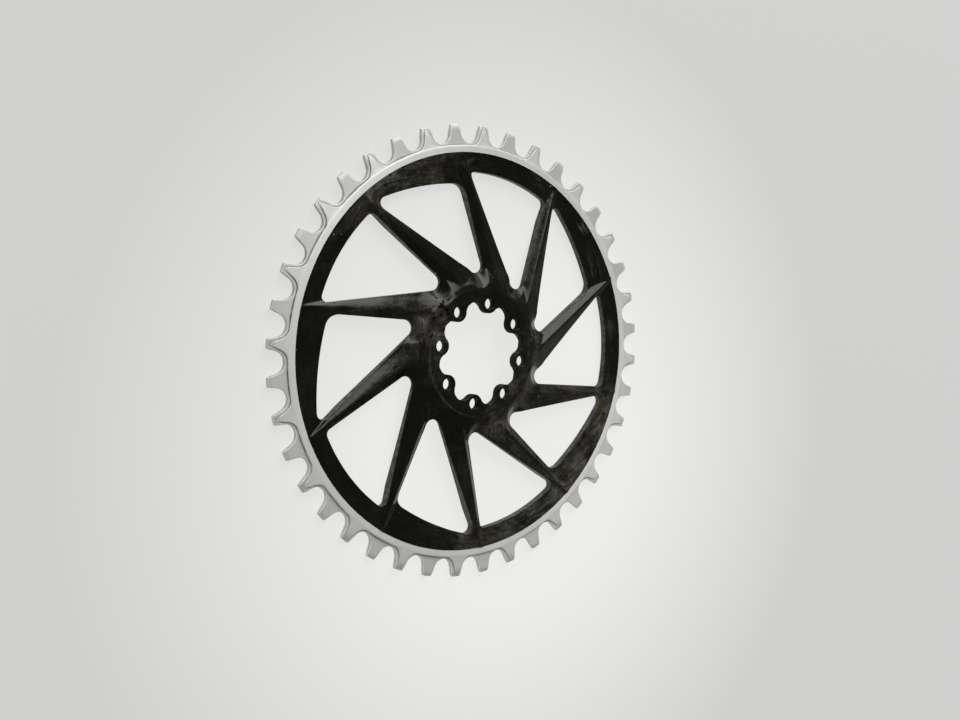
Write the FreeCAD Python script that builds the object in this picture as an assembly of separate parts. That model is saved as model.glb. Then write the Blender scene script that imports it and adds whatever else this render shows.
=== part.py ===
import FreeCAD, Part
import math
import os

# A chainring lying on its back with its proud hub up, in millimetres.
# The origin is on the ring's axis, at the plane that the ring rests on, and a narrow tooth points along +X.

Vector = FreeCAD.Vector
axis = Vector(0, 0, 1)
origin = Vector(0, 0, 0)

# Tooth ring: chain geometry
tooth_count = 40
chain_pitch = 12.7
roller_seat_radius = 3.97
flank_angle = 16.0
tip_radius = 83.85

# Tooth ring: thickness of the band, of the narrow teeth and along the tapered tips
band_thickness = 3.84
band_radius = 76.3
seam_radius = 73.77
narrow_thickness = 2.1
shoulder_radius = 81.2
shoulder_thickness = 2.8
tip_thickness = 0.9

# Wide teeth: a raised face with hollow sides that runs out to a point near the tip
raised_seat_radius = 4.82
raised_flank_angle = 24.0
raised_tip_radius = 83.2

# Spider: levels above the resting plane
hub_front = 10.45
hub_back = 7.45
platform_radius = 23.3
shoulder_of_hub = (25.8, 9.55)
flange_foot = (33.0, 6.2)
rim_front = 3.84
rim_inner_edge = (63.5, 3.15)
rim_back = 0.72
spoke_back_outer = (59.0, rim_back)
spoke_back_inner = (23.0, 6.15)
hub_back_radius = 21.5

# Spokes: each is drawn along X and carried round; its line passes beside the axis, not through it.
# A section is the (across, height) of the leading foot, the two ridge lines and the trailing foot.
spoke_count = 10
spoke_phase = -8.16
hub_station = 20.0
rim_station = 73.5
hub_section = ((-10.3, 6.4), (-14.4, 9.4), (-17.95, 8.1), (-22.6, 6.2))
rim_section = ((-11.9, 2.4), (-14.05, 4.15), (-14.6, 4.05), (-14.9, 3.3))
spoke_root = 1.2

# Windows: their straight sides are the spokes' edges, given across X at the two stations
leading_edge = (-10.85, -12.59)
trailing_edge = (-22.16, -14.24)
window_inner_fillet = 3.1
scoop_floor = 6.1

# Two kinds of window take turns: one ends in an arc round the axis, the other in a flatter arc that leaves
# more rim at its leading corner. Each is the arc's centre and radius, then its leading and trailing fillets.
round_window = (Vector(0, 0, 0), 66.66, 2.4, 2.0)
flat_window = (Vector(-36.1, 13.4, 0), 100.5, 5.0, 2.5)

# Bolt circle and the lobed bore round it
bolt_count = 8
bolt_phase = 29.5
bolt_circle_radius = 18.54
bolt_hole_diameter = 4.2
lobe_radius = 3.46
scallop_radius = 3.84

tooth_step = 360.0 / tooth_count
spoke_step = 360.0 / spoke_count
bolt_step = 360.0 / bolt_count
pitch_radius = chain_pitch / (2 * math.sin(math.pi / tooth_count))
middle = band_thickness / 2


def polar(radius, degrees, height=0.0):
    turn = math.radians(degrees)
    return Vector(radius * math.cos(turn), radius * math.sin(turn), height)


def line(start, end):
    return Part.LineSegment(start, end).toShape()


def arc(start, through, end):
    return Part.Arc(start, through, end).toShape()


def turned(shape, degrees):
    copy = shape.copy()
    copy.rotate(origin, axis, degrees)
    return copy


def pattern(shape, count, phase=0.0):
    return [turned(shape, phase + i * 360.0 / count) for i in range(count)]


def extruded(edges, bottom, top):
    face = Part.Face(Part.Wire(Part.__sortEdges__(edges)))
    face.translate(Vector(0, 0, bottom))
    return face.extrude(Vector(0, 0, top - bottom))


def revolved(points):
    # Points are (radius, height) round one closed profile
    corners = [Vector(r, 0, z) for r, z in points]
    return Part.Face(Part.makePolygon(corners + corners[:1])).revolve(origin, axis, 360)


# One side of the gap between two teeth: the roller seat's arc, then a straight flank that leaves it at a
# tangent and runs out to the reach radius. Side is +1 for the tooth after the gap and -1 for the one before.
def gap_side(gap_degrees, side, seat_radius, flank_degrees, reach):
    lean = math.radians(flank_degrees)
    out = pitch_radius - seat_radius * math.sin(lean)
    across = seat_radius * math.cos(lean)
    along = out * math.cos(lean) + across * math.sin(lean)
    run = math.sqrt(along ** 2 - out ** 2 - across ** 2 + reach ** 2) - along
    half = math.radians(90.0 - flank_degrees) / 2

    def place(u, v):
        return polar(math.hypot(u, v), gap_degrees + math.degrees(math.atan2(side * v, u)))

    bottom = place(pitch_radius - seat_radius, 0)
    bend = place(pitch_radius - seat_radius * math.cos(half), seat_radius * math.sin(half))
    tangent = place(out, across)
    top = place(out + run * math.cos(lean), across + run * math.sin(lean))
    return bottom, bend, tangent, top


def tooth_edges(tooth_degrees, seat_radius, flank_degrees, reach):
    before = gap_side(tooth_degrees - tooth_step / 2, 1, seat_radius, flank_degrees, reach)
    after = gap_side(tooth_degrees + tooth_step / 2, -1, seat_radius, flank_degrees, reach)
    return [
        arc(before[0], before[1], before[2]),
        line(before[2], before[3]),
        arc(before[3], polar(reach, tooth_degrees), after[3]),
        line(after[3], after[2]),
        arc(after[2], after[1], after[0]),
    ]


def make_tooth_ring():
    outline = []
    for i in range(tooth_count):
        outline += tooth_edges(i * tooth_step, roller_seat_radius, flank_angle, tip_radius)
    plate = extruded(outline, middle - narrow_thickness / 2, middle + narrow_thickness / 2)
    band = Part.makeCylinder(band_radius, band_thickness)
    raised = tooth_edges(0.0, raised_seat_radius, raised_flank_angle, raised_tip_radius)
    raised.append(line(raised[-1].Vertexes[-1].Point, raised[0].Vertexes[0].Point))
    wide_tooth = extruded(raised, 0.0, band_thickness)
    wide_teeth = pattern(wide_tooth, tooth_count // 2, tooth_step)
    half_profile = [
        (seam_radius, band_thickness / 2),
        (band_radius, band_thickness / 2),
        (shoulder_radius, shoulder_thickness / 2),
        (tip_radius + 0.5, tip_thickness / 2),
    ]
    front = [(r, middle + h) for r, h in half_profile]
    back = [(r, middle - h) for r, h in reversed(half_profile)]
    envelope = revolved(front + back)
    return plate.fuse([band] + wide_teeth).common(envelope).removeSplitter()


# The dished plate that the hub, spokes and rim are cut from
def make_dish():
    return revolved([
        (0.0, hub_back),
        (0.0, hub_front),
        (platform_radius, hub_front),
        shoulder_of_hub,
        flange_foot,
        rim_inner_edge,
        (seam_radius, rim_front),
        (seam_radius, rim_back),
        spoke_back_outer,
        spoke_back_inner,
        (hub_back_radius, hub_back),
    ])


# A ridged spoke: two facets either side of a narrow crest that tapers from the hub to the seam
def make_ridge():
    wires = []
    for station, section in ((hub_station, hub_section), (rim_station, rim_section)):
        root = [(section[-1][0], section[-1][1] - spoke_root), (section[0][0], section[0][1] - spoke_root)]
        corners = [Vector(station, y, z) for y, z in list(section) + root]
        wires.append(Part.makePolygon(corners + corners[:1]))
    return Part.makeLoft(wires, True, True)


def edge_line(edge, degrees):
    start = Vector(hub_station, edge[0], 0)
    end = Vector(rim_station, edge[1], 0)
    turn = FreeCAD.Rotation(axis, degrees)
    return turn.multVec(start), turn.multVec(end)


def crossing(first, second):
    a, b = first
    c, d = second
    ab = b - a
    cd = d - c
    share = (c - a).cross(cd).z / ab.cross(cd).z
    return a + ab * share


def on_circle(edge, centre, radius):
    a, b = edge
    step = (b - a).normalize()
    foot = a + step * (centre - a).dot(step)
    return foot + step * math.sqrt(radius ** 2 - (foot - centre).Length ** 2)


def shifted(edge, amount):
    a, b = edge
    side = axis.cross(b - a).normalize() * amount
    return a + side, b + side


# The window after a spoke is a triangle between that spoke's leading edge, the next spoke's trailing edge
# and an arc of the rim, with its three corners rounded.
def make_window(centre, radius, leading_fillet, trailing_fillet):
    leading = edge_line(leading_edge, 0.0)
    trailing = edge_line(trailing_edge, spoke_step)
    inner = crossing(leading, trailing)
    low = on_circle(leading, centre, radius)
    high = on_circle(trailing, centre, radius)
    rim_middle = centre + ((low + high) / 2 - centre).normalize() * radius
    prism = extruded([line(inner, low), arc(low, rim_middle, high), line(high, inner)], -1.0, hub_front + 1.0)
    fillets = ((inner, window_inner_fillet), (low, leading_fillet), (high, trailing_fillet))
    for corner, fillet in fillets:
        upright = [e for e in prism.Edges if e.CenterOfMass.sub(corner).cross(axis).Length < 0.01]
        prism = prism.makeFillet(fillet, upright)
    return prism


# A tapered hollow that runs from the window's rounded inner end up to the edge of the hub's platform
def make_scoop():
    leading = shifted(edge_line(leading_edge, 0.0), window_inner_fillet)
    trailing = shifted(edge_line(trailing_edge, spoke_step), -window_inner_fillet)
    centre = crossing(leading, trailing) + axis * scoop_floor
    rise = hub_front + 1.0 - scoop_floor
    return Part.makeCone(window_inner_fillet, window_inner_fillet + rise, rise, centre)


# The bore: a lobe round each bolt hole and a hollow between each two, all arcs meeting at tangents
def make_bore():
    half_step = bolt_step / 2
    reach = lobe_radius + scallop_radius
    beside = bolt_circle_radius * math.sin(math.radians(half_step))
    along = bolt_circle_radius * math.cos(math.radians(half_step))
    scallop_centre = along - math.sqrt(reach ** 2 - beside ** 2)
    edges = []
    for i in range(bolt_count):
        bolt = polar(bolt_circle_radius, i * bolt_step)
        before = polar(scallop_centre, i * bolt_step - half_step)
        after = polar(scallop_centre, i * bolt_step + half_step)
        following = polar(bolt_circle_radius, (i + 1) * bolt_step)
        share = lobe_radius / reach
        start = bolt + (before - bolt) * share
        end = bolt + (after - bolt) * share
        onward = following + (after - following) * share
        edges.append(arc(start, polar(bolt_circle_radius - lobe_radius, i * bolt_step), end))
        edges.append(arc(end, polar(scallop_centre + scallop_radius, i * bolt_step + half_step), onward))
    return turned(extruded(edges, 0.0, hub_front + 1.0), bolt_phase)


def make_spider():
    hole = Part.makeCylinder(bolt_hole_diameter / 2, hub_front + 1.0, polar(bolt_circle_radius, 0.0))
    holes = pattern(hole, bolt_count, bolt_phase)
    scoops = pattern(make_scoop(), spoke_count, spoke_phase)
    windows = pattern(make_window(*round_window), spoke_count // 2, spoke_phase)
    windows += pattern(make_window(*flat_window), spoke_count // 2, spoke_phase + spoke_step)
    ridge_room = revolved([
        spoke_back_inner,
        (spoke_back_inner[0], hub_front),
        (seam_radius, hub_front),
        (seam_radius, rim_back),
        spoke_back_outer,
    ])
    ridges = [ridge.common(ridge_room) for ridge in pattern(make_ridge(), spoke_count, spoke_phase)]
    body = make_dish().cut(scoops).fuse(ridges)
    return body.cut(windows).cut([make_bore()] + holes).removeSplitter()


os.makedirs("parts", exist_ok=True)
for name, make in (("tooth_ring", make_tooth_ring), ("composite_spider", make_spider)):
    solid = make()
    box = solid.BoundBox
    print(name, solid.isValid(), len(solid.Solids), "volume", round(solid.Volume, 1),
          "box", round(box.XLength, 2), round(box.YLength, 2), round(box.ZLength, 2))
    solid.exportStep("parts/" + name + ".step")
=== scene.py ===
import bmesh
import bpy
import numpy as np
from mathutils import Matrix, Quaternion, Vector


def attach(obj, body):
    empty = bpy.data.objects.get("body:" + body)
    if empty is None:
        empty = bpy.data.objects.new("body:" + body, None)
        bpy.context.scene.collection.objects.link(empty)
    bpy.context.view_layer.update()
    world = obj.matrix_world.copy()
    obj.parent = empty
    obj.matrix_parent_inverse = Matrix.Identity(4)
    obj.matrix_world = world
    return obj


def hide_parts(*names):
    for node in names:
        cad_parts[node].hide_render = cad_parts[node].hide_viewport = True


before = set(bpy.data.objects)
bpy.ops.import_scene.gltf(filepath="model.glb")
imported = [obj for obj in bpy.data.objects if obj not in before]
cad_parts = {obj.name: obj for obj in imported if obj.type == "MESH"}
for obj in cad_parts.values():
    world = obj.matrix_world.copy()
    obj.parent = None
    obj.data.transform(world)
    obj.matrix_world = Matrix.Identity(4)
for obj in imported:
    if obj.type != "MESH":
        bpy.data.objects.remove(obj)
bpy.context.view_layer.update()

scene = bpy.context.scene
scene.view_settings.view_transform = "Standard"
print("frame loaded:", sorted(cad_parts))

mm = 0.001   # shapes are worked out in millimetres, meshes are in metres
flowUnit = 10   # and flow maps in centimetres


# Plan geometry: a plan point is the last axis (x, y) of an array

# polar to plan: (radius cos angle, radius sin angle), angle in radians
def polar(radius, angle):
    return np.stack(np.broadcast_arrays(radius * np.cos(angle), radius * np.sin(angle)), -1)


# every point turned about the axis by an angle in degrees
def turned(points, degrees):
    c, s = np.cos(np.radians(degrees)), np.sin(np.radians(degrees))
    x, y = points[..., 0], points[..., 1]
    return np.stack([x * c - y * s, x * s + y * c], -1)


# a share of the way from each point of one curve to the same point of another
def between(first, second, share):
    return first + (second - first) * np.asarray(share)[..., None]


# outward normals of a closed anticlockwise curve: the chord between its neighbours, turned a quarter back
def outward(curve):
    chord = np.roll(curve, -1, 0) - np.roll(curve, 1, 0)
    normal = np.stack([chord[:, 1], -chord[:, 0]], -1)
    return normal / np.linalg.norm(normal, axis=1)[:, None]


# a closed curve eased a little: half of each point and a quarter of each of its neighbours
def eased(curve):
    return (np.roll(curve, 1, 0) + 2 * curve + np.roll(curve, -1, 0)) / 4


# distance walked along the first axis of an array of points: the chords added up from zero
def walked(points):
    chords = np.linalg.norm(np.diff(points, axis=0), axis=-1)
    return np.concatenate([np.zeros_like(chords[:1]), np.cumsum(chords, 0)])


# the larger of two heights with a rounded crease: half of their sum and of the root of their squared
# difference plus a squared width
def softMax(a, b, width):
    return (a + b + np.sqrt((a - b) ** 2 + width ** 2)) / 2


# the smaller of two heights, rounded the same way
def softMin(a, b, width):
    return (a + b - np.sqrt((a - b) ** 2 + width ** 2)) / 2


# height of a turned profile at each point's radius, averaged over a few offsets to ease its corners
def profileHeight(plan, profile, offsets):
    radius = np.linalg.norm(plan, axis=-1)
    return sum(np.interp(radius + d, *profile) for d in offsets) / len(offsets)


# quarter round over an edge: from the face's curve to the wall's by the sine of each angle in degrees, and
# down from the top by its size times one less the cosine
def rounding(face, wall, top, size, angles):
    return [(between(face, wall, np.sin(a)), top - size * (1 - np.cos(a))) for a in np.radians(angles)]


# bell curves about listed places (x, y, spread, strength), added up to one at most
def bells(plan, places):
    x, y = plan[..., 0], plan[..., 1]
    total = sum(s * np.exp(-((x - px) ** 2 + (y - py) ** 2) / (2 * d ** 2)) for px, py, d, s in places)
    return np.minimum(total, 1.0)


# rows of plan points and heights stacked to one grid of points, row by row
def stacked(rows):
    plan = np.stack([np.asarray(p, float) for p, z in rows])
    height = np.stack([np.broadcast_to(z, plan.shape[1]) for p, z in rows])
    return np.concatenate([plan, height[..., None]], -1)


# One mesh from several grids. Each grid has points (rows, columns, 3), a flow map in centimetres, named
# values per point and, if it has several finishes, a finish number per row of quads. A quad joins each point
# with its neighbours along both parameters, and shared borders are merged.
def makePiece(name, grids, sharp, weld=4e-6, sliver=2e-6):
    points, flows, quads, finishes, count = [], [], [], [], 0
    values = {key: [] for key in grids[0]["values"]}
    for grid in grids:
        rows, columns = grid["points"].shape[:2]
        n = np.arange(rows * columns).reshape(rows, columns) + count
        quads.append(np.stack([n[:-1, :-1], n[1:, :-1], n[1:, 1:], n[:-1, 1:]], -1).reshape(-1, 4))
        points.append(grid["points"].reshape(-1, 3))
        flows.append(grid["flow"].reshape(-1, 2))
        finishes.append(np.repeat(np.broadcast_to(grid.get("finish", 0), rows - 1), columns - 1))
        for key in values:
            values[key].append(np.broadcast_to(grid["values"][key], (rows, columns)).ravel())
        count += rows * columns
    points, flows, quads = np.concatenate(points), np.concatenate(flows), np.concatenate(quads)
    mesh = bpy.data.meshes.new(name)
    mesh.vertices.add(count)
    mesh.vertices.foreach_set("co", (points * mm).ravel())
    mesh.loops.add(quads.size)
    mesh.loops.foreach_set("vertex_index", quads.ravel())
    mesh.polygons.add(len(quads))
    mesh.polygons.foreach_set("loop_start", np.arange(0, quads.size, 4))
    mesh.polygons.foreach_set("material_index", np.concatenate(finishes))
    mesh.update(calc_edges=True)
    mesh.uv_layers.new(name="flow").data.foreach_set("uv", flows[quads.ravel()].ravel())
    for key, parts in values.items():
        mesh.attributes.new(key, "FLOAT", "POINT").data.foreach_set("value", np.concatenate(parts))
    work = bmesh.new()
    work.from_mesh(mesh)
    bmesh.ops.remove_doubles(work, verts=work.verts, dist=weld)
    bmesh.ops.dissolve_degenerate(work, edges=work.edges, dist=sliver)
    bmesh.ops.recalc_face_normals(work, faces=work.faces)
    openEdges = sum(1 for e in work.edges if len(e.link_faces) != 2)
    volume = work.calc_volume(signed=True) / mm ** 3
    work.to_mesh(mesh)
    work.free()
    mesh.polygons.foreach_set("use_smooth", np.ones(len(mesh.polygons), bool))
    mesh.set_sharp_from_angle(angle=np.radians(sharp))
    piece = bpy.data.objects.new(name, mesh)
    scene.collection.objects.link(piece)
    # large faces stay flat, rounds take the turn
    weighted = piece.modifiers.new("flatFaces", "WEIGHTED_NORMAL")
    weighted.weight = 100
    weighted.keep_sharp = True
    print(name, len(mesh.polygons), "faces,", openEdges, "open edges,", round(volume), "mm3")
    return piece


# Tooth ring
ringLook = {
    "teeth": 40, "chainPitch": 12.7,
    "seat": 3.97, "flank": 16.0, "tip": 83.83,   # roller seat, lean of the flank in degrees, tip radius
    "raisedSeat": 4.82, "raisedFlank": 24.0, "raisedTip": 83.2,   # the same for a wide tooth's raised face
    "seam": 73.77, "shelf": 74.6, "band": 76.3, "taper": 82.36,   # radii of the inside, band and tooth taper
    "middle": 1.92, "plateHalf": 1.05,   # height of the middle plane, half thickness of the toothed plate
    "lathe": ((75.8, 76.5, 81.2, 84.35), (1.92, 1.72, 1.4, 0.45)),   # radius and half thickness of the blank
    "edge": 0.16, "stepEdge": 0.18, "crease": 0.04,   # sizes of the rounds
    "midRound": 0.29,   # how far the middle of a round lies from its corner, as a share of its size
    "stepShare": 0.45,   # most of the step's height that one of its rounds may take
    "leastFace": 0.2, "tipGap": 0.1,   # least width of a tooth's face and of the taper at its tip
    "taperShares": (0.4, 0.94), "taperRound": 0.02, "cornerShare": 0.09,   # shares of a tooth's face
    "bandWearAndHighlight": 1.0, "stepWearAndHighlight": (1.0, 0.7), "edgeWearAndHighlight": (1.0, 0.8),   # how bright the edges are, rubbed and painted with a highlight
    "stepGrimeAndShade": (0.9, 1.0, 0.95), "wallShade": 0.85,   # how dark the step's foot is with grime and painted shade, and the teeth's walls with painted shade
    # places where grime and painted shade sit: x, y, spread, strength; and how much is there elsewhere
    "grimeAndShadeAt": ((-76.0, 15.0, 40, 1.0), (-45.0, 64.0, 30, 0.7),
              (30.0, 72.0, 35, 0.35), (-20.0, -75.0, 35, 0.4)),
    "leastGrimeAndShade": 0.3,
    "samples": (9, 8, 5),   # points on half a tooth: seat, flank, tip
    "sharp": 42,   # degrees from which an edge stays sharp
}
toothStep = 2 * np.pi / ringLook["teeth"]
pitchRadius = ringLook["chainPitch"] / (2 * np.sin(toothStep / 2))


# Half a tooth from the middle of its gap to the middle of its tip, as radius and angle from the tooth: an
# arc of the roller seat about the pitch point, a straight flank that leaves it at a tangent, then the tip
# circle
def halfTooth(seat, flank, reach):
    seatCount, flankCount, tipCount = ringLook["samples"]
    lean = np.radians(flank)
    a = np.linspace(0, np.pi / 2 - lean, seatCount)
    x, y = pitchRadius - seat * np.cos(a), seat * np.sin(a)
    along = x[-1] * np.cos(lean) + y[-1] * np.sin(lean)
    run = np.sqrt(along ** 2 - x[-1] ** 2 - y[-1] ** 2 + reach ** 2) - along
    d = run * np.sin(np.linspace(0, np.pi / 2, flankCount + 1))[1:]
    x = np.concatenate([x, x[-1] + d * np.cos(lean)])
    y = np.concatenate([y, y[-1] + d * np.sin(lean)])
    radius, angle = np.hypot(x, y), np.arctan2(y, x) - toothStep / 2
    tip = np.linspace(angle[-1], 0, tipCount + 1)[1:]
    return np.concatenate([radius, np.full(tipCount, reach)]), np.concatenate([angle, tip])


# a half tooth and its mirror image, up to the next gap
def wholeTooth(radius, angle):
    return np.concatenate([radius, radius[-2:0:-1]]), np.concatenate([angle, -angle[-2:0:-1]])


# The ring is a section carried round the tooth outline. Each row of the section lies a share of the way from
# the seam to the raised outline, or from there to the tooth outline; its height is the plate's or the turned
# blank's, whichever is less, and the lower half mirrors the upper.
def makeRing(look):
    outR, outA = wholeTooth(*halfTooth(look["seat"], look["flank"], look["tip"]))
    wideR, wideA = wholeTooth(*halfTooth(look["raisedSeat"], look["raisedFlank"], look["raisedTip"]))
    pairs = look["teeth"] // 2
    shift = np.arange(pairs)[:, None] * 2 * toothStep
    outAngle = (np.concatenate([outA, outA + toothStep]) + shift).ravel()
    inAngle = (np.concatenate([outA, wideA + toothStep]) + shift).ravel()
    inRadius = np.maximum(np.tile(np.concatenate([np.zeros_like(outR), wideR]), pairs), look["band"])
    outline = eased(polar(np.tile(outR, 2 * pairs), outAngle))
    raised = eased(polar(inRadius, inAngle))
    outNormal, inNormal = outward(outline), outward(raised)
    size = lambda plan: np.linalg.norm(plan, axis=-1)
    blank = lambda plan: np.interp(size(plan), *look["lathe"])
    plate = lambda plan: np.minimum(look["plateHalf"], blank(plan))
    rows, wearAndHighlight, grimeAndShade = [], [], []

    # one more row of the section: its plan points and heights, how worn and brightened with a painted
    # highlight it is, and how much grime and painted shade it takes
    def put(plan, height, wornAndSheen=0.0, dirtAndShade=0.0):
        rows.append((plan, height))
        wearAndHighlight.append(wornAndSheen)
        grimeAndShade.append(dirtAndShade)

    # the turned band, from the seam over its bevel to the lip of the step
    edge, stepEdge, turn, mid = look["edge"], look["stepEdge"], look["crease"], look["midRound"]
    seam = polar(look["seam"], inAngle)
    lip = raised - inNormal * stepEdge
    lipR = size(lip)
    bevelIn, bevelOut, flatOut = look["lathe"][0][:3]
    bevelEnd = bevelIn + np.minimum(bevelOut - bevelIn, (lipR - bevelIn) / 2)
    flatEnd = np.minimum(flatOut, lipR - (lipR - bevelEnd) / 4)
    # the band's bevel end is brightened as wear and as a painted highlight
    bandRows = ((look["seam"], 0.0), (look["shelf"], 0.0), (bevelIn - turn, 0.0), (bevelIn + turn, 0.0),
                (bevelEnd - turn, look["bandWearAndHighlight"]), (bevelEnd + turn, look["bandWearAndHighlight"]),
                ((bevelEnd + flatEnd) / 2, 0.0), (flatEnd, 0.0), ((flatEnd + lipR) / 2, 0.0), (lipR, 0.0))
    for radius, wornAndSheen in bandRows:
        plan = between(seam, lip, (radius - look["seam"]) / (lipR - look["seam"]))
        put(plan, blank(plan), wornAndSheen)
    # the step down to the plate, with grime and painted shade at its foot
    top, foot = blank(raised), plate(raised)
    stepRound = np.minimum(stepEdge, look["stepShare"] * (top - foot))
    ledge = raised + inNormal * stepEdge
    # the step's top round is brightened as wear and as a painted highlight
    put(raised - inNormal * mid * stepEdge, top - mid * stepRound, look["stepWearAndHighlight"][0])
    put(raised, top - stepRound, look["stepWearAndHighlight"][1])
    put(raised, foot + stepRound, 0.0, look["stepGrimeAndShade"][0])
    put(ledge, plate(ledge), 0.0, look["stepGrimeAndShade"][1])
    # the tooth's face, with its taper, and the outer edge
    rim = outline - outNormal * edge
    ledgeR, rimR = size(ledge), size(rim)
    width = np.maximum(rimR - ledgeR, look["leastFace"])
    taperR = np.minimum(look["taper"], rimR - look["tipGap"])
    taper = np.clip((taperR - ledgeR) / width, *look["taperShares"])
    near = np.minimum(stepEdge / width, look["cornerShare"])
    # the face's first row takes grime and painted shade from the step's corner
    faceRows = ((near, look["stepGrimeAndShade"][2]), (near * 2, 0.0), (taper * 0.5, 0.0),
                (taper - look["taperRound"], 0.0), (taper + look["taperRound"], 0.0),
                ((1 + taper) / 2, 0.0), (np.ones_like(taper), 0.0))
    for share, dirtAndShade in faceRows:
        plan = between(ledge, rim, share)
        put(plan, plate(plan), 0.0, dirtAndShade)
    edgeHeight = plate(outline)
    # the outer edge's round is brightened as wear and as a painted highlight
    put(outline - outNormal * mid * edge, edgeHeight - mid * edge, look["edgeWearAndHighlight"][0])
    put(outline, edgeHeight - edge, look["edgeWearAndHighlight"][1])
    # painted shade: the teeth's outer wall is darkened at its middle
    put(outline, edgeHeight * 0, 0.0, look["wallShade"])

    points = stacked(rows + [(p, -z) for p, z in rows[-2::-1]] + rows[:1])
    points = np.concatenate([points, points[:, :1]], 1)
    points[..., 2] += look["middle"]
    bothSides = lambda row: np.array(row + row[-2::-1] + row[:1])[:, None]
    # grime and painted shade gather most at the listed places
    grimeAndShadeAt = look["leastGrimeAndShade"] + (1 - look["leastGrimeAndShade"]) * bells(points[..., :2], look["grimeAndShadeAt"])
    values = {"wornAndSheen": bothSides(wearAndHighlight), "corner": bothSides(grimeAndShade) * grimeAndShadeAt}
    grid = {"points": points, "flow": points[..., :2] / flowUnit, "values": values}
    return makePiece("narrowWideRing", [grid], look["sharp"])


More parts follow.
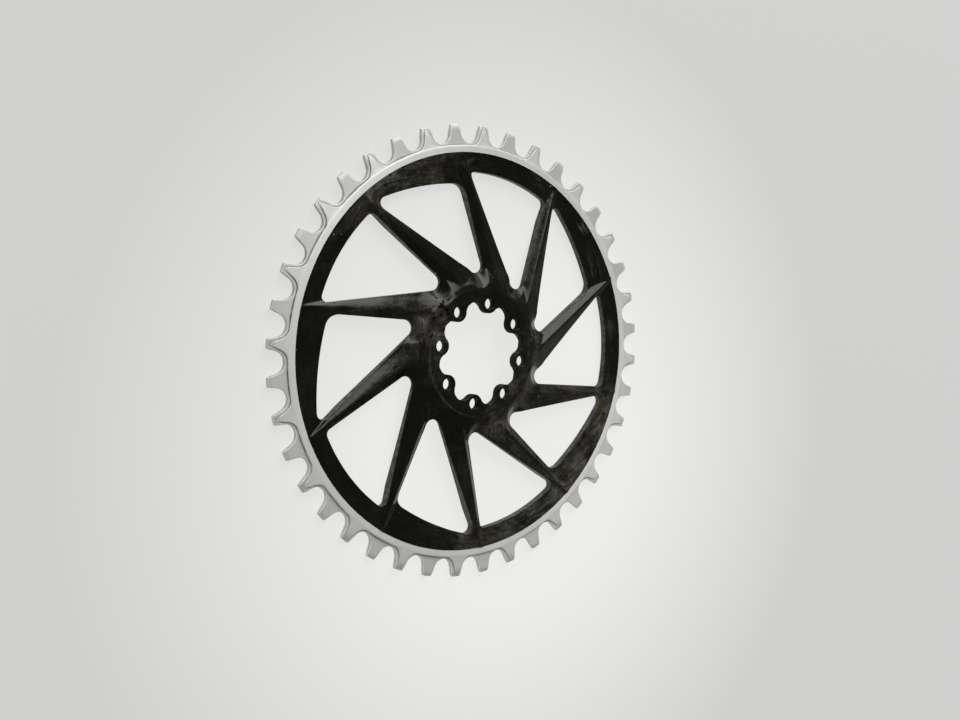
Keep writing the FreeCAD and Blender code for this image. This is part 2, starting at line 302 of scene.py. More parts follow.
# Spider
spiderLook = {
    "phase": -8.16, "spokes": 10, "stations": (20.0, 73.5),   # first spoke's turn, its sections' distances
    # across and height of the leading foot, the two ridge lines and the trailing foot, at each station
    "hubSection": ((-10.3, 6.4), (-14.4, 9.4), (-17.95, 8.1), (-22.6, 6.2)),
    "rimSection": ((-11.9, 2.4), (-14.05, 4.15), (-14.6, 4.05), (-14.9, 3.3)),
    "leading": (-10.85, -12.59), "trailing": (-22.16, -14.24),   # sides of the spoke at each station
    # windows: centre and radius of the outer arc, fillets at the leading and the trailing spoke
    "roundWindow": ((0.0, 0.0), 66.66, 2.4, 2.0), "flatWindow": ((-36.1, 13.4), 100.5, 5.0, 2.5),
    "innerFillet": 3.1,
    # radius and height of the dish and of the back, and the offsets that ease them
    "front": ((0, 23.3, 25.8, 33.0, 63.5, 73.77), (10.45, 10.45, 9.55, 6.2, 3.15, 3.84)),
    "back": ((0, 21.5, 23.0, 59.0, 73.77), (7.45, 7.45, 6.15, 0.72, 0.72)),
    "frontEase": (-0.2, -0.1, 0, 0.1, 0.2), "backEase": (-0.4, 0, 0.4),
    "scoopFloor": 6.1, "scoopRise": 0.78, "scoopRound": 0.25,   # hollow beside each spoke's root
    "edge": 0.38, "backEdge": 0.7, "ridgeRound": 0.2,   # the back's round is a share of the front's
    "rootFall": (25.0, 0.12),   # where a ridge starts to sink towards the hub, and how fast
    # radius, and width of the blend at a spoke's foot
    "rootRound": ((24.0, 38.0, 62.0, 73.0), (0.9, 0.32, 0.32, 0.6)),
    "seam": 73.77, "hubRing": 27.0, "boltRing": 21.3,   # radii where the parts of the mesh meet
    "hubRows": (27.0, 26.5, 26.1, 25.8, 25.5, 25.0, 24.4, 23.9, 23.6, 23.3, 23.0, 22.6, 22.0, 21.3),
    "hubBackRows": (27.0, 25.5, 24.2, 23.4, 23.0, 22.6, 22.0, 21.6, 21.3),
    "platformEdge": (23.3, 23.6),   # rows on the rim of the hub platform
    "hubFlow": 25,   # radius at which the flow round the hub has its true length
    "bolts": 8, "boltPhase": 29.5, "boltCircle": 18.54, "boltHole": 2.1, "lobe": 3.46, "scallop": 3.84,
    "boreRound": 0.3, "boreBackRound": 0.25, "holeRound": 0.25, "holeBackRound": 0.2,
    # places where the strands show with a painted sheen: x, y, spread, strength
    "wornAndSheen": ((-23.7, 67.5, 9, 0.9), (-36.7, 61.8, 7, 0.9), (-11.8, 70.2, 6, 0.5), (-51.8, 51.6, 6, 0.2),
             (-50.0, 21.5, 7, 0.2), (-38.1, 19.2, 8, 0.25), (-21.3, 11.8, 5, 1.0), (-21.6, -1.5, 4, 0.4),
             (21.7, -1.3, 6, 0.4), (17.5, -16.8, 7, 0.6), (30.2, 28.2, 9, 0.15), (20.7, 29.7, 7, 0.15),
             (32.8, -64.2, 9, 1.0), (-7.4, -69.5, 8, 0.9), (8.1, -69.6, 9, 0.8), (55.2, -41.6, 10, 0.9),
             (62.0, -28.8, 7, 0.8), (14.5, -37.7, 9, 0.6), (-6.7, -42.9, 8, 0.2), (39.1, -13.3, 9, 0.6),
             (69.5, 1.0, 2.5, 0.4), (46.0, -53.0, 8, 0.9), (20.0, -67.0, 8, 0.7), (4.0, -29.0, 6, 0.6)),
    # places where the rim of the hub platform is rubbed pale and painted with a highlight, the same way
    "rubbedAndLit": ((-22.0, -6.0, 8, 0.5), (-14.0, -18.0, 8, 0.45)),
    # places with black chips, the same way
    "chipped": ((-12.9, 21.7, 1.1, 1.0), (-16.4, 18.9, 1.5, 1.0), (-15.2, 17.0, 1.2, 0.9),
                (-21.0, 14.5, 1.8, 0.8), (-24.5, 8.5, 2.2, 0.7), (-30.0, 65.0, 3.0, 0.5)),
    # places with pale scuffs, some of them painted highlights, the same way
    "scuffedAndGlinting": ((57.3, 42.4, 1.6, 0.8), (35.6, 61.7, 2.4, 0.5), (64.4, 30.8, 2.2, 0.6),
                (61.7, 22.7, 1.8, 0.7), (36.6, -58.1, 4.0, 0.4), (-23.0, 14.6, 2.0, 0.8),
                (5.1, 70.7, 3.0, 0.3)),
    # how dry the edges are and how much painted light they take, row by row: front round, wall and back
    # round of a window, and the bore's wall
    "windowTrimAndLight": (0.35, 1.0, 1.0, 1.0, 1.0, 1.0, 0.5), "boreTrimAndLight": (0, 0.05, 0.1, 0.1, 0.1, 0.1, 0),
    # samples: hub corner, spoke side, rim corner along the spoke and along the seam, rim arc, hub arc
    "counts": (6, 28, 7, 7, 26, 32),
    "boreSamples": (10, 12, 6),   # the same for the scallop, lobe and side of a bolt's sector
    # shares of border, seam and inner fillet at which their corners end
    "borderShares": (0.24, 0.86), "seamShares": (0.13, 0.9), "filletShares": (0.16, 0.84),
    "ridgeReach": (0.35, 0.97),   # least and most share of the way to the border for the ridge line's row
    # rows between border and ridge line, and from there to the edge, where they are denser
    "crestRows": 4, "facetRows": 14, "facetBias": 1.25,
    "flowLine": 0.4,   # share of the way to the border along which the flow is measured
    # shares of the rows down a window's wall and out under it, then in to a bolt's hole and out again
    "wallRows": (0.33, 0.67), "backRows": (0, 0.04, 0.12, 0.3, 0.55, 0.8, 1),
    "boltRows": (1, 0.7, 0.45, 0.2, 0), "boltBackRows": (0, 0.5, 1),
    # distances in millimetres that keep the pattern different from part to part
    "flowShift": {"cell": 57, "hub": 500, "bolt": 900, "bore": 700, "sector": 40},
    "boreFlow": 0.6,   # flow from row to row down the bore
    "sharp": 50,
}
spokeTurn = 360 / spiderLook["spokes"]
hubCorner, spokeSide, rimCorner, seamCorner, rimArc, hubArc = spiderLook["counts"]
seamFirst = hubCorner + spokeSide + rimCorner   # where a cell's border comes to the seam
seamLast = seamFirst + 2 * seamCorner + rimArc   # and where it leaves it
roundAngles, backAngles, holeAngles = (30, 60, 90), (90, 45), (40, 90)   # rows of the rounds, in degrees


# straight line across a spoke's length, as its first point and unit direction
def spokeLine(across):
    ends = np.stack([spiderLook["stations"], across], -1)
    step = ends[1] - ends[0]
    return ends[0], step / np.linalg.norm(step)


# where the line through p along d meets the line through q along e, by the ratio of their cross products
def crossing(p, d, q, e):
    share = ((q - p)[0] * e[1] - (q - p)[1] * e[0]) / (d[0] * e[1] - d[1] * e[0])
    return p + d * share


# a direction turned a quarter to the left: (-y, x)
def quarter(d):
    return np.array([-d[1], d[0]])


# across position of one line of a spoke's section at both stations
def sectionLine(look, i):
    return np.array([look["hubSection"][i][0], look["rimSection"][i][0]])


# Height of one spoke's ridge: the least of its three facets, each a ruled sheet between two lines of the
# section, less a square law near the hub
def ridgeHeight(plan, look):
    near, far = look["stations"]
    t = np.clip((plan[..., 0] - near) / (far - near), 0, 1)
    lines = [(y0 + (y1 - y0) * t, z0 + (z1 - z0) * t)
             for (y0, z0), (y1, z1) in zip(look["hubSection"], look["rimSection"])]
    facets = [z0 + (z1 - z0) * (plan[..., 1] - y0) / (y1 - y0)
              for (y0, z0), (y1, z1) in zip(lines[:-1], lines[1:])]
    width = look["ridgeRound"] * (1 + t)
    height = softMin(softMin(facets[0], facets[1], width), facets[2], width)
    start, fall = look["rootFall"]
    return height - np.maximum(0, start - plan[..., 0]) ** 2 * fall


# Front of the moulding: the dish, with the ten ridges run softly into it, then a cone scooped out beside
# each spoke's root
def frontHeight(plan, look, scoop):
    height = profileHeight(plan, look["front"], look["frontEase"])
    blend = np.interp(np.linalg.norm(plan, axis=-1), *look["rootRound"])
    # the plan in each spoke's frame
    owns = [turned(plan, -look["phase"] - spokeTurn * k) for k in range(look["spokes"])]
    for own in owns:
        height = softMax(height, ridgeHeight(own, look), blend)
    for own in owns:
        away = np.maximum(0, np.linalg.norm(own - scoop, axis=-1) - look["innerFillet"])
        height = softMin(height, look["scoopFloor"] + look["scoopRise"] * away, look["scoopRound"])
    return np.minimum(height, look["front"][1][0])


# points of an arc about a centre from one point to another, the short way round
def arcBetween(centre, start, end, shares):
    a, b = np.arctan2(*(start - centre)[::-1]), np.arctan2(*(end - centre)[::-1])
    sweep = (b - a + np.pi) % (2 * np.pi) - np.pi
    return centre + polar(np.linalg.norm(start - centre), a + sweep * shares)


# A window's outline in its spoke's frame: two straight sides and an outer arc, joined by three fillets. Each
# fillet's centre lies its own radius inside both of its sides. The parts follow the order of the border.
def windowOutline(look, window):
    centre, radius, leadFillet, trailFillet = np.array(window[0]), *window[1:]
    fillet = look["innerFillet"]
    p, d = spokeLine(look["leading"])
    q, e = (turned(v, spokeTurn) for v in spokeLine(look["trailing"]))
    inner = crossing(p + quarter(d) * fillet, d, q - quarter(e) * fillet, e)

    # a rim fillet's centre and its ends on the straight side and on the outer arc
    def corner(point, step, side, rounded):
        base = point + quarter(step) * side * rounded
        along = (centre - base) @ step
        gap = np.linalg.norm(base + step * along - centre)
        middle = base + step * (along + np.sqrt((radius - rounded) ** 2 - gap ** 2))
        reach = (middle - centre) / np.linalg.norm(middle - centre)
        return middle, middle - quarter(step) * side * rounded, centre + reach * radius

    low, lowLine, lowArc = corner(p, d, 1, leadFillet)
    high, highLine, highArc = corner(q, e, -1, trailFillet)
    innerLead, innerTrail = inner - quarter(d) * fillet, inner + quarter(e) * fillet
    part = lambda n: np.arange(n) / n
    # the inner fillet runs from the trailing side to the leading side, its middle share facing the hub
    a, b = look["filletShares"]
    shares = np.concatenate([part(hubCorner) * a, a + part(hubArc) * (b - a), b + part(hubCorner) * (1 - b)])
    innerArc = arcBetween(inner, innerTrail, innerLead, shares)
    outline = np.concatenate([
        innerArc[hubCorner + hubArc:],
        between(innerLead, lowLine, part(spokeSide)),
        arcBetween(low, lowLine, lowArc, part(rimCorner + seamCorner)),
        arcBetween(centre, lowArc, highArc, part(rimArc)),
        arcBetween(high, highArc, highLine, part(seamCorner + rimCorner)),
        between(highLine, innerTrail, part(spokeSide)),
        innerArc[:hubCorner + hubArc],
    ])
    return outline, inner


# The border of a window's cell: along its spoke's crest to the seam, round the seam, back along the next
# spoke's crest and round the hub. Neighbouring cells share the crest points.
def cellBorder(look, hubAngle):
    # shares from 0 to 1 in three runs that end at a, b and 1
    runs = lambda a, b, first, middle, last: np.concatenate([
        np.linspace(0, a, first, endpoint=False), np.linspace(a, b, middle, endpoint=False),
        np.linspace(b, 1, last + 1)])
    p, d = spokeLine((sectionLine(look, 1) + sectionLine(look, 2)) / 2)
    foot = p - d * (p @ d)
    end = foot + d * np.sqrt(look["seam"] ** 2 - foot @ foot)
    crestShares = runs(*look["borderShares"], hubCorner, spokeSide, rimCorner)
    crest = between(polar(look["hubRing"], hubAngle), end, crestShares)
    seamAngle = np.radians(spokeTurn) * runs(*look["seamShares"], seamCorner, rimArc, seamCorner)
    seam = polar(look["seam"], np.arctan2(end[1], end[0]) + seamAngle)
    hub = polar(look["hubRing"], hubAngle + np.radians(spokeTurn) * (1 - np.arange(hubArc) / hubArc))
    return np.concatenate([crest[:-1], seam[:-1], turned(crest, spokeTurn)[:0:-1], hub])


# For each point of a window's outline, the share of the way to the border at which the nearest ridge line is
# crossed: found along both spokes, and carried on evenly round the rim and the hub
def ridgeShare(look, outline, border):
    # share of the way from window to border at which the line through p along d is met
    meets = lambda p, d, i: ((outline[i] - p) @ quarter(d)) / ((outline[i] - border[i]) @ quarter(d))
    index = np.arange(len(outline))
    lead, trail = index[:seamFirst + 1], index[seamLast:seamLast + seamFirst + 1]
    share = np.full(len(outline), np.nan)
    share[lead] = meets(*spokeLine(sectionLine(look, 1)), lead)
    share[trail] = meets(*(turned(v, spokeTurn) for v in spokeLine(sectionLine(look, 2))), trail)
    known = np.flatnonzero(~np.isnan(share))
    share = np.interp(index, np.append(known, len(outline)), np.append(share[known], share[0]))
    return np.clip(share, *look["ridgeReach"])


# One window's cell: a sheet from the cell's border in to the window, over the edge's round, down the wall
# and out again under it, each row a share of the way from window to border; and the wall under the seam
def windowCell(look, k, outline, border, front, back):
    closed = lambda curve: np.concatenate([curve, curve[:1]])
    ridge = closed(ridgeShare(look, outline, border))
    window, outer = (turned(closed(c), look["phase"] + spokeTurn * k) for c in (outline, border))
    at = lambda share: between(window, outer, share)
    edge, backEdge = look["edge"], look["edge"] * look["backEdge"]
    first = edge / np.linalg.norm(outer - window, axis=1)
    firstBack = first * look["backEdge"]
    plans = [at(ridge + (1 - ridge) * f) for f in np.linspace(1, 0, look["crestRows"] + 1)[:-1]]
    plans += [at(first + (ridge - first) * f ** look["facetBias"])
              for f in np.linspace(1, 0, look["facetRows"] + 1)]
    rows = [(p, front(p)) for p in plans]
    top, low = rows[-1][1], back(at(firstBack))
    rows += rounding(plans[-1], window, top, edge, roundAngles)
    rows += [(window, (top - edge) * (1 - f) + (low + backEdge) * f) for f in look["wallRows"]]
    rows += rounding(at(firstBack), window, low, -backEdge, backAngles)
    rows += [(p, back(p)) for p in (at(firstBack + (1 - firstBack) * f) for f in look["backRows"])]
    # the window's rounds and wall are made paler: dry trimmed grain and painted light
    trimAndLight = np.concatenate([np.zeros(len(plans)), look["windowTrimAndLight"], np.zeros(len(look["backRows"]))])
    points = stacked(rows)
    along, across = walked(at(look["flowLine"])) + look["flowShift"]["cell"] * k, walked(points)
    flow = np.stack(np.broadcast_arrays(along, across - across[len(plans) - 1]), -1) / flowUnit
    wall = outer[seamFirst:seamLast + 1]
    wallPoints = stacked([(wall, front(wall) + (back(wall) - front(wall)) * f) for f in (0, 0.5, 1)])
    return [{"points": points, "flow": flow, "values": {"trimAndLight": trimAndLight[:, None]}},
            {"points": wallPoints, "flow": np.zeros(wallPoints[..., :2].shape), "values": {"trimAndLight": 0.0}}]


# the hub between the cells and the bolts, front and back: a polar sheet, one row for each radius
def hubSheets(look, angles, front, back):
    sheets = []
    for heights, radii in ((front, look["hubRows"]), (back, look["hubBackRows"])):
        plans = [polar(np.full_like(angles, r), angles) for r in radii]
        points = stacked([(p, heights(p)) for p in plans])
        along, across = angles * look["hubFlow"], np.array(radii)[:, None] + look["flowShift"]["hub"]
        flow = np.stack(np.broadcast_arrays(along, across), -1) / flowUnit
        # the platform's rim is rubbed pale, partly a painted highlight
        onEdge = np.isin(radii, look["platformEdge"])[:, None] if heights is front else 0.0
        trimAndLight = onEdge * bells(points[..., :2], look["rubbedAndLit"])
        sheets.append({"points": points, "flow": flow, "values": {"trimAndLight": trimAndLight}})
    return sheets


# The sector of a bolt on the x axis. The lobe about the bolt touches the scallops halfway to its neighbours,
# so a scallop's centre lies both radii from the bolt. Gives the sector's border, the hole with as many
# points, and the bore's outline at its wall and moved into the material by its round.
def boltSector(look, perBolt):
    half = np.pi / look["bolts"]
    scallopCount, lobeCount, sideCount = look["boreSamples"]
    bolt = np.array([look["boltCircle"], 0.0])
    reach = look["lobe"] + look["scallop"]
    scallopAt = bolt[0] * np.cos(half) - np.sqrt(reach ** 2 - (bolt[0] * np.sin(half)) ** 2)
    hollow = polar(scallopAt, half)
    touch = bolt + (hollow - bolt) * look["lobe"] / reach

    # the bore's outline moved into the material: the scallop's arc, the lobe's nose and their mirror image
    def boreLine(offset):
        out = (hollow / scallopAt) * (scallopAt + look["scallop"] + offset)
        joint = hollow + (touch - hollow) / np.linalg.norm(touch - hollow) * (look["scallop"] + offset)
        nose = bolt - np.array([look["lobe"] - offset, 0])
        upper = np.concatenate([arcBetween(hollow, out, joint, np.arange(scallopCount) / scallopCount),
                                arcBetween(bolt, joint, nose, np.linspace(0, 1, lobeCount + 1))])
        return np.concatenate([upper, (upper * (1, -1))[-2::-1]])

    bore, inset = boreLine(0.0), boreLine(look["boreRound"])
    arc = polar(look["boltRing"], np.linspace(-half, half, perBolt + 1))
    sides = np.arange(sideCount) / sideCount
    sector = np.concatenate([arc[:-1], between(arc[-1], inset[0], sides), inset[:-1],
                             between(inset[-1], arc[0], sides), arc[:1]])
    path = walked(sector)
    start = np.arctan2(*(sector[0] - bolt)[::-1])
    hole = bolt + polar(look["boltHole"], start + 2 * np.pi * path / path[-1])
    return sector, hole, bore, inset


# One bolt's cell: a sheet from its sector's border in to the hole, down the hole and out again under it, and
# the wall of the bore from its round to the back
def boltCell(look, j, shapes, front, back):
    place = look["boltPhase"] + 360 / look["bolts"] * j
    sector, hole, bore, inset = (turned(shape, place) for shape in shapes)
    shift = look["flowShift"]
    top, bottom = look["front"][1][0], look["back"][1][0]
    first = look["holeRound"] / np.linalg.norm(sector - hole, axis=1)
    at = lambda f: between(hole, sector, first + (1 - first) * f)
    rows = [(p, front(p)) for p in map(at, look["boltRows"])]
    rows += rounding(at(0), hole, top, look["holeRound"], holeAngles)
    rows.append((hole, bottom + look["holeBackRound"]))
    rows += [(p, back(p)) for p in map(at, look["boltBackRows"])]
    points = stacked(rows)
    cell = {"points": points, "flow": (points[..., :2] + shift["bolt"]) / flowUnit,
            "values": {"trimAndLight": 0.0}, "finish": [0] * 5 + [1, 1, 0, 0, 0]}   # walls have the second finish
    rows = [(inset, front(inset))] + rounding(inset, bore, top, look["boreRound"], roundAngles)
    rows += [(bore, (top + bottom) / 2), (bore, bottom + look["boreBackRound"]), (inset, back(inset))]
    along = walked(bore) + shift["sector"] * j
    across = np.arange(len(rows))[:, None] * look["boreFlow"] + shift["bore"]
    # the bore's wall takes a little dry grain and painted light
    wall = {"points": stacked(rows), "flow": np.stack(np.broadcast_arrays(along, across), -1) / flowUnit,
            "values": {"trimAndLight": np.array(look["boreTrimAndLight"])[:, None]}, "finish": [0, 0, 1, 1, 1, 0]}
    return [cell, wall]


# The spider is ten window cells round a polar hub ring with eight bolt cells inside it. The hub ring has one
# set of points for spokes and bolts, so the crest between two cells starts at the nearest of them.
def makeSpider(look):
    boltStep, ringStep = 360 / look["bolts"], spokeTurn / hubArc
    crestAcross = (look["hubSection"][1][0] + look["hubSection"][2][0]) / 2
    crestAngle = np.degrees(np.arcsin(crestAcross / look["hubRing"])) + look["phase"]
    ringStart = look["boltPhase"] + boltStep / 2
    nearest = ringStart + np.round((crestAngle - ringStart) / ringStep) * ringStep
    border = cellBorder(look, np.radians(nearest - look["phase"]))
    windows = [windowOutline(look, look[key]) for key in ("roundWindow", "flatWindow")]
    front = lambda plan: frontHeight(plan, look, windows[0][1])
    back = lambda plan: profileHeight(plan, look["back"], look["backEase"])
    grids = []
    for k in range(look["spokes"]):
        grids += windowCell(look, k, windows[k % 2][0], border, front, back)
    angles = np.radians(ringStart + np.arange(look["spokes"] * hubArc + 1) * ringStep)
    grids += hubSheets(look, angles, front, back)
    shapes = boltSector(look, int(round(boltStep / ringStep)))
    for j in range(look["bolts"]):
        grids += boltCell(look, j, shapes, front, back)
    for grid in grids:
        for key in ("wornAndSheen", "chipped", "scuffedAndGlinting"):
            grid["values"][key] = bells(grid["points"][..., :2], look[key])
    return makePiece("sweptSpider", grids, look["sharp"])


# Finishes

# a node with its settings, and its inputs set to a value or linked to another node's socket
def addNode(tree, kind, inputs=None, **settings):
    node = tree.nodes.new("ShaderNode" + kind)
    for key, value in settings.items():
        setattr(node, key, value)
    for key, value in (inputs or {}).items():
        if isinstance(value, bpy.types.NodeSocket):
            tree.links.new(value, node.inputs[key])
        else:
            node.inputs[key].default_value = value
    return node


# an empty material with its node tree and its shader
def newMaterial(name):
    material = bpy.data.materials.new(name)
    material.use_nodes = True
    return material, material.node_tree, material.node_tree.nodes["Principled BSDF"]


# a number carried from one range to another in proportion, and held at its ends
def ranged(tree, value, fromLow, fromHigh, toLow, toHigh):
    inputs = {"Value": value, "From Min": fromLow, "From Max": fromHigh, "To Min": toLow, "To Max": toHigh}
    return addNode(tree, "MapRange", inputs).outputs["Result"]


# one number or two put together by an operation, such as a difference or a comparison
def combined(tree, operation, first, second=0.0):
    return addNode(tree, "Math", {0: first, 1: second}, operation=operation).outputs[0]


# the product of two numbers
def times(tree, first, second):
    return combined(tree, "MULTIPLY", first, second)


# the sum of two numbers
def plus(tree, first, second):
    return combined(tree, "ADD", first, second)


# a vector or colour times a number
def scaled(tree, vector, amount):
    return addNode(tree, "VectorMath", {0: vector, "Scale": amount}, operation="SCALE").outputs[0]


# two colours mixed by a share
def mixed(tree, share, first, second):
    node = addNode(tree, "Mix", data_type="RGBA")
    for socket, value in zip([s for s in node.inputs if s.enabled], (share, first, second)):
        if isinstance(value, bpy.types.NodeSocket):
            tree.links.new(value, socket)
        else:
            socket.default_value = (*value, 1)
    return [s for s in node.outputs if s.enabled][0]


# a value kept at the mesh's points
def kept(tree, name):
    return addNode(tree, "Attribute", attribute_name=name).outputs["Fac"]


# fractal noise at a scale, as its value and its colour
def noise(tree, vector, scale, detail, roughness=0.5, kind="3D"):
    inputs = {"Vector": vector, "Scale": scale, "Detail": detail, "Roughness": roughness}
    return addNode(tree, "TexNoise", inputs, noise_dimensions=kind).outputs


# noise along one number, so many waves to its unit
def lineNoise(tree, value, waves, detail):
    inputs = {"W": times(tree, value, waves), "Scale": 1.0, "Detail": detail}
    return addNode(tree, "TexNoise", inputs, noise_dimensions="1D").outputs[0]


aluminiumLook = {
    "dark": (0.855, 0.851, 0.82), "light": (0.935, 0.93, 0.894),   # between these the clouds run
    # edge: colour of the worn edges, also a painted highlight; grimeAndShade: dirt colour, also used for
    # painted shade
    "edge": (0.96, 0.955, 0.925), "grimeAndShade": (0.07, 0.063, 0.052),
    "recessShade": (0.00115, 0.0013, 0.89),   # heights from the middle where the plate ends, and its painted shade as a share of the colour
    "toothShade": (0.0763, 0.0766, 0.92),   # radii where the turned band ends, and the teeth's painted shade as a share of the colour
    "metallic": 0.3, "roughness": 0.55, "polish": 0.08,   # worn edges are smoother by the polish
    "grooved": 0.6, "skew": -0.06,   # how much the grooves stretch a reflection, their slant in turns
    # grooves and lines to the metre, and the lines' share of light
    "turning": 2600.0, "lines": 1500.0, "lineLight": (0.97, 1.02),
    "grain": 2400.0, "clouds": 55.0, "patches": 420.0,   # scales of the noises
    "bump": (0.12, 0.0001), "turningShare": 0.5,   # strength and depth of the relief, the grooves' share
}


# Satin machined aluminium: turned rings by distance from the axis, blasted grain, broad clouds, brighter
# worn edges that are also a painted highlight, painted shade on the recessed plate and the teeth, and dark
# grime with painted shade along the inner corner of the step and on the teeth's walls
def machinedAluminium(look):
    material, tree, shader = newMaterial("machinedAluminium")
    coords = addNode(tree, "TexCoord").outputs["Object"]
    flat = addNode(tree, "Mapping", {"Vector": coords, "Scale": (1, 1, 0)}).outputs[0]
    radius = addNode(tree, "VectorMath", {0: flat}, operation="LENGTH").outputs["Value"]
    grain = noise(tree, coords, look["grain"], 3.0)[0]
    cloud = noise(tree, coords, look["clouds"], 4.0, 0.6)[0]
    patchy = noise(tree, coords, look["patches"], 2.0)[0]
    wornAndSheen = kept(tree, "wornAndSheen")
    color = mixed(tree, ranged(tree, cloud, 0.3, 0.7, 0.0, 1.0), look["dark"], look["light"])
    # painted shade: the recessed toothed plate and the teeth beyond the band are darkened
    low, high, share = look["recessShade"]
    level = addNode(tree, "SeparateXYZ", {0: coords}).outputs["Z"]
    above = combined(tree, "SUBTRACT", level, ringLook["middle"] * mm)
    plate = ranged(tree, combined(tree, "ABSOLUTE", above), low, high, 1.0, 0.0)
    color = mixed(tree, plate, color, scaled(tree, color, share))
    low, high, share = look["toothShade"]
    lines = ranged(tree, lineNoise(tree, radius, look["lines"], 3.0), 0.3, 0.7, *look["lineLight"])
    color = scaled(tree, color, times(tree, ranged(tree, radius, low, high, 1.0, share), lines))
    # the worn edges take a paler colour, wear and a painted highlight, broken into patches
    edgePatches = ranged(tree, patchy, 0.35, 0.65, 0.15, 0.8)
    color = mixed(tree, times(tree, wornAndSheen, edgePatches), color, look["edge"])
    # grime and painted shade: the step's corner and the teeth's walls take the dark grime colour and lose
    # their metal
    dirtAndShade = times(tree, kept(tree, "corner"), ranged(tree, patchy, 0.3, 0.6, 1.0, 0.65))
    color = mixed(tree, dirtAndShade, color, look["grimeAndShade"])
    tree.links.new(color, shader.inputs["Base Color"])
    tree.links.new(ranged(tree, dirtAndShade, 0.0, 1.0, look["metallic"], 0.0), shader.inputs["Metallic"])
    rough = plus(tree, ranged(tree, grain, 0.3, 0.7, -0.05, 0.05), look["roughness"])
    rough = combined(tree, "SUBTRACT", rough, times(tree, wornAndSheen, look["polish"]))
    tree.links.new(rough, shader.inputs["Roughness"])
    # turning grooves run round the axis, so they spread the light outward and inward
    shader.inputs["Anisotropic"].default_value = look["grooved"]
    shader.inputs["Anisotropic Rotation"].default_value = look["skew"]
    spread = addNode(tree, "VectorMath", {0: flat}, operation="NORMALIZE").outputs[0]
    tree.links.new(spread, shader.inputs["Tangent"])
    strength, depth = look["bump"]
    turning = lineNoise(tree, radius, look["turning"], 2.0)
    height = plus(tree, times(tree, turning, look["turningShare"]), grain)
    bump = addNode(tree, "Bump", {"Strength": strength, "Distance": depth, "Height": height}).outputs[0]
    tree.links.new(bump, shader.inputs["Normal"])
    return material


compositeLook = {
    # the tow colours are the strands' own colour with a painted sheen on them
    "resin": (0.0018, 0.0019, 0.0013), "greyTowSheen": (0.16, 0.154, 0.132), "brownTowSheen": (0.158, 0.136, 0.098),
    "trimmedAndLit": (0.095, 0.091, 0.083), "scuffAndGlint": (0.19, 0.185, 0.17), "speck": (0.5, 0.49, 0.47),
    "gloss": (1.0, 0.98, 0.86), "chip": (0.1, 0.1, 0.09),   # tint of reflections, and of those inside a chip
    "specular": 0.25, "roughness": 0.13,
    "rougher": {"streak": 0.35, "chip": 0.4, "trimAndLight": 0.25},   # added to the roughness there
    "bump": (0.09, 0.0003),   # strength and depth of the relief
    "waves": (140.0, 0.00016),   # scale and depth of the surface's waves
    "relief": {"fibres": 0.6, "pits": 0.7, "mottle": 0.8, "flakes": 0.5},   # shares of the relief
    "flake": (0.7, 2.6),     # flakes per centimetre along and across the flow
    "flakeTurn": 0.22,       # how far a flake is turned at most, in radians
    "fibre": (0.9, 8.0),     # streaks per centimetre along and across a flake
    "scrape": (1.0, 4.5),    # scuff marks per centimetre along and across the flow
    "warp": (260.0, 0.07),   # how the flow wanders: scale, and reach in centimetres
    "sheenEverywhere": 0.075,     # how far the flakes and their painted sheen show away from the worn places
    # scales of the noises
    "clouds": 130.0, "fine": 600.0, "breaks": 480.0, "dry": 520.0, "mottle": 300.0, "pits": 900.0,
    "breakShare": 0.2,       # how much more the resin breaks at the chipped places
    "specks": (330.0, 0.9),  # scale of the specks, and the share of places without one
}
boreLook = dict(compositeLook, roughness=0.5, specular=0.05, sheenEverywhere=0.05)


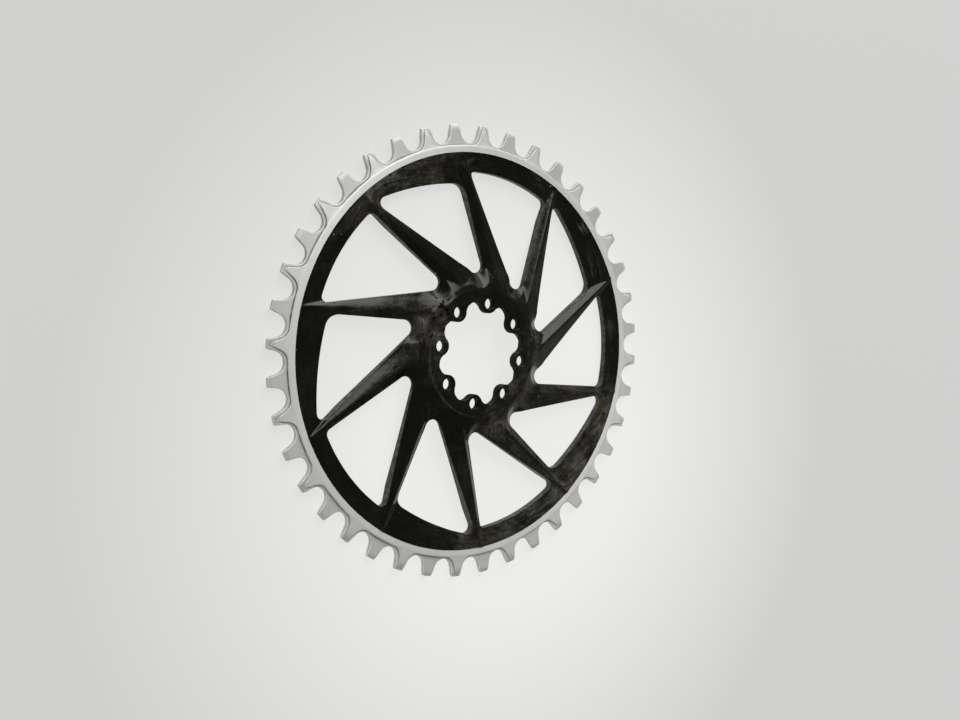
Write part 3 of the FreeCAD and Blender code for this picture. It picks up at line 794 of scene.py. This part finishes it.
# Moulded chopped-fibre composite: flakes of strand laid along the moulding's flow, each turned a little and
# painted with a different sheen, in black resin, with a dry lighter grain and painted light where edges were
# trimmed, pale scuffs (some of them painted highlights) and specks, small pits and black chips
def fibreComposite(name, look):
    material, tree, shader = newMaterial(name)
    coords = addNode(tree, "TexCoord").outputs["Object"]
    flow = addNode(tree, "UVMap", uv_map="flow").outputs[0]
    scale, reach = look["warp"]
    warp = noise(tree, coords, scale, 3.0)[1]
    warp = addNode(tree, "VectorMath", {0: warp, 1: (0.5, 0.5, 0.5)}, operation="SUBTRACT").outputs[0]
    flow = addNode(tree, "VectorMath", {0: flow, 1: scaled(tree, warp, reach)}, operation="ADD").outputs[0]
    cells = addNode(tree, "Mapping", {"Vector": flow, "Scale": (*look["flake"], 1)}).outputs[0]
    flake = addNode(tree, "TexVoronoi", {"Vector": cells, "Scale": 1.0}, voronoi_dimensions="2D")
    pick = addNode(tree, "SeparateColor", {0: flake.outputs["Color"]}).outputs
    angle = ranged(tree, pick[0], 0.0, 1.0, -look["flakeTurn"], look["flakeTurn"])
    laid = addNode(tree, "VectorRotate", {"Vector": flow, "Angle": angle}, rotation_type="Z_AXIS").outputs[0]
    stretched = addNode(tree, "Mapping", {"Vector": laid, "Scale": (*look["fibre"], 1)}).outputs[0]
    fibres = noise(tree, stretched, 1.0, 4.0, 0.6, "2D")[0]
    # worn places show the flakes with a painted sheen, the rest stays resin-rich and black
    clouds = ranged(tree, noise(tree, coords, look["clouds"], 4.0, 0.6)[0], 0.38, 0.60, 0.15, 1.0)
    sheenShown = times(tree, plus(tree, kept(tree, "wornAndSheen"), look["sheenEverywhere"]), clouds)
    flakeSheen = times(tree, ranged(tree, pick[1], 0.0, 1.0, 0.45, 1.0), sheenShown)
    fine = ranged(tree, noise(tree, coords, look["fine"], 3.0, 0.6)[0], 0.36, 0.64, 0.55, 1.0)
    streak = times(tree, ranged(tree, fibres, 0.36, 0.62, 0.25, 1.0), times(tree, flakeSheen, fine))
    chipped = times(tree, kept(tree, "chipped"), look["breakShare"])
    breaks = plus(tree, noise(tree, coords, look["breaks"], 4.0, 0.65)[0], chipped)
    chips = ranged(tree, breaks, 0.66, 0.68, 0.0, 1.0)
    streak = times(tree, streak, combined(tree, "SUBTRACT", 1.0, chips))
    color = mixed(tree, streak, look["resin"], mixed(tree, pick[2], look["greyTowSheen"], look["brownTowSheen"]))
    # painted light: the trimmed walls are made paler as if lit, on top of their dry grain
    trimAndLight = kept(tree, "trimAndLight")
    dry = ranged(tree, noise(tree, coords, look["dry"], 4.0, 0.65)[0], 0.4, 0.62, 0.1, 1.0)
    color = mixed(tree, times(tree, trimAndLight, dry), color, look["trimmedAndLit"])
    scrape = addNode(tree, "Mapping", {"Vector": flow, "Scale": (*look["scrape"], 1)}).outputs[0]
    scuffs = ranged(tree, noise(tree, scrape, 1.0, 5.0, 0.7, "2D")[0], 0.5, 0.72, 0.0, 1.0)
    # pale scuffs, some of them a painted highlight
    color = mixed(tree, times(tree, scuffs, kept(tree, "scuffedAndGlinting")), color, look["scuffAndGlint"])
    scale, bare = look["specks"]
    dots = addNode(tree, "TexVoronoi", {"Vector": coords, "Scale": scale}).outputs
    lot = addNode(tree, "SeparateColor", {0: dots["Color"]}).outputs[0]
    chosen = combined(tree, "GREATER_THAN", lot, bare)
    dot = times(tree, ranged(tree, dots["Distance"], 0.05, 0.1, 1.0, 0.0), chosen)
    color = mixed(tree, dot, color, look["speck"])
    tree.links.new(color, shader.inputs["Base Color"])
    mottle = noise(tree, coords, look["mottle"], 4.0, 0.6)[0]
    rough = plus(tree, ranged(tree, mottle, 0.3, 0.7, -0.05, 0.07), look["roughness"])
    rough = plus(tree, rough, ranged(tree, pick[1], 0.0, 1.0, -0.03, 0.04))
    for value, key in ((streak, "streak"), (chips, "chip"), (trimAndLight, "trimAndLight")):
        rough = plus(tree, rough, times(tree, value, look["rougher"][key]))
    tree.links.new(rough, shader.inputs["Roughness"])
    shader.inputs["Specular IOR Level"].default_value = look["specular"]
    tree.links.new(mixed(tree, chips, look["gloss"], look["chip"]), shader.inputs["Specular Tint"])
    pits = ranged(tree, noise(tree, coords, look["pits"], 2.0)[0], 0.24, 0.36, -1.0, 0.0)
    height = combined(tree, "SUBTRACT", 0.0, chips)
    for value, key in ((fibres, "fibres"), (pits, "pits"), (mottle, "mottle"), (pick[1], "flakes")):
        height = plus(tree, height, times(tree, value, look["relief"][key]))
    # the moulding is a little wavy, and the fine relief lies on that
    scale, depth = look["waves"]
    waves = noise(tree, coords, scale, 2.0, 0.55)[0]
    wavy = addNode(tree, "Bump", {"Strength": 1.0, "Distance": depth, "Height": waves}).outputs[0]
    strength, depth = look["bump"]
    bump = {"Strength": strength, "Distance": depth, "Height": height, "Normal": wavy}
    tree.links.new(addNode(tree, "Bump", bump).outputs[0], shader.inputs["Normal"])
    return material


toothRing = makeRing(ringLook)
toothRing.data.materials.append(machinedAluminium(aluminiumLook))
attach(toothRing, "root")
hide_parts("tooth_ring")

spider = makeSpider(spiderLook)
spider.data.materials.append(fibreComposite("fibreComposite", compositeLook))
spider.data.materials.append(fibreComposite("boreComposite", boreLook))
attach(spider, "root")
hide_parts("composite_spider")
print("finishes made:", sorted(m.name for m in bpy.data.materials))

# Floor
floorLook = {
    "color": (0.135, 0.135, 0.133), "roughness": 0.8, "half": 30.0,
    "glow": (0.9, 0.905, 0.89), "glowNear": 0.83, "glowFar": 0.59,   # a paler pool of light under the part
    "middle": (0.02, -0.04, 0.0), "reach": (0.06, 0.18),   # its middle, and where it fades
}
half = floorLook["half"]
floorMesh = bpy.data.meshes.new("floor")
corners = [(-half, -half, 0), (half, -half, 0), (half, half, 0), (-half, half, 0)]
floorMesh.from_pydata(corners, [], [(0, 1, 2, 3)])
floor = bpy.data.objects.new("floor", floorMesh)
scene.collection.objects.link(floor)
paleFloor, floorTree, floorShader = newMaterial("paleFloor")
floorShader.inputs["Base Color"].default_value = (*floorLook["color"], 1)
floorShader.inputs["Roughness"].default_value = floorLook["roughness"]
floorShader.inputs["Emission Color"].default_value = (*floorLook["glow"], 1)
fromMiddle = {0: addNode(floorTree, "TexCoord").outputs["Object"], 1: floorLook["middle"]}
away = addNode(floorTree, "VectorMath", fromMiddle, operation="DISTANCE").outputs["Value"]
glow = ranged(floorTree, away, *floorLook["reach"], floorLook["glowNear"], floorLook["glowFar"])
floorTree.links.new(glow, floorShader.inputs["Emission Strength"])
floorMesh.materials.append(paleFloor)
print("floor laid")

# Camera, fitted to the tooth tips and the bolt holes
view = {
    "place": (-0.28365, 0.05769, 0.39771), "target": (0.00499, -0.00347, 0.00192),
    "up": (0.12483, 0.99024, -0.06198), "lens": 49.416, "sensor": 36, "nearest": 0.01,
}
place = Vector(view["place"])
toCamera = (place - Vector(view["target"])).normalized()
right = Vector(view["up"]).cross(toCamera).normalized()
cameraData = bpy.data.cameras.new("camera")
cameraData.lens = view["lens"]
cameraData.sensor_width = view["sensor"]
cameraData.clip_start = view["nearest"]
camera = bpy.data.objects.new("camera", cameraData)
axes = Matrix((right, toCamera.cross(right), toCamera)).transposed()
camera.matrix_world = Matrix.Translation(place) @ axes.to_4x4()
scene.collection.objects.link(camera)
scene.camera = camera
print("camera placed")

# Soft boxes aimed at the part: place, width, height, turn in degrees, power
lights = {
    "topBox": ((0.55, 1.70, 1.60), 2.47, 1.08, 47, 41.0),
    "backBox": ((0.55, 2.21, 0.74), 3.8, 0.95, 0, 13.0),
    "leftBox": ((-0.95, -0.10, 0.35), 0.8, 0.8, 0, 0.8),
    "lowBox": ((0.66, -0.34, 0.15), 0.5, 0.2, 0, 0.07),
}
for name, (spot, width, height, turn, power) in lights.items():
    data = bpy.data.lights.new(name, "AREA")
    data.shape = "RECTANGLE"
    data.size = width
    data.size_y = height
    data.energy = power
    box = bpy.data.objects.new(name, data)
    box.location = spot
    aim = (-Vector(spot)).to_track_quat("-Z", "Y") @ Quaternion((0, 0, 1), np.radians(turn))
    box.rotation_euler = aim.to_euler()
    scene.collection.objects.link(box)

# A pale room, a little brighter overhead: sines of the heights between which it changes, and its strength
room = {"rise": (0.1, 0.75), "strength": (0.15, 0.2)}
world = bpy.data.worlds.new("studio")
world.use_nodes = True
heading = addNode(world.node_tree, "TexCoord").outputs["Generated"]
rise = addNode(world.node_tree, "SeparateXYZ", {0: heading}).outputs["Z"]
background = world.node_tree.nodes["Background"]
background.inputs["Color"].default_value = (1, 1, 1, 1)
strength = ranged(world.node_tree, rise, *room["rise"], *room["strength"])
world.node_tree.links.new(strength, background.inputs["Strength"])
scene.world = world
print("lights placed:", len(lights))
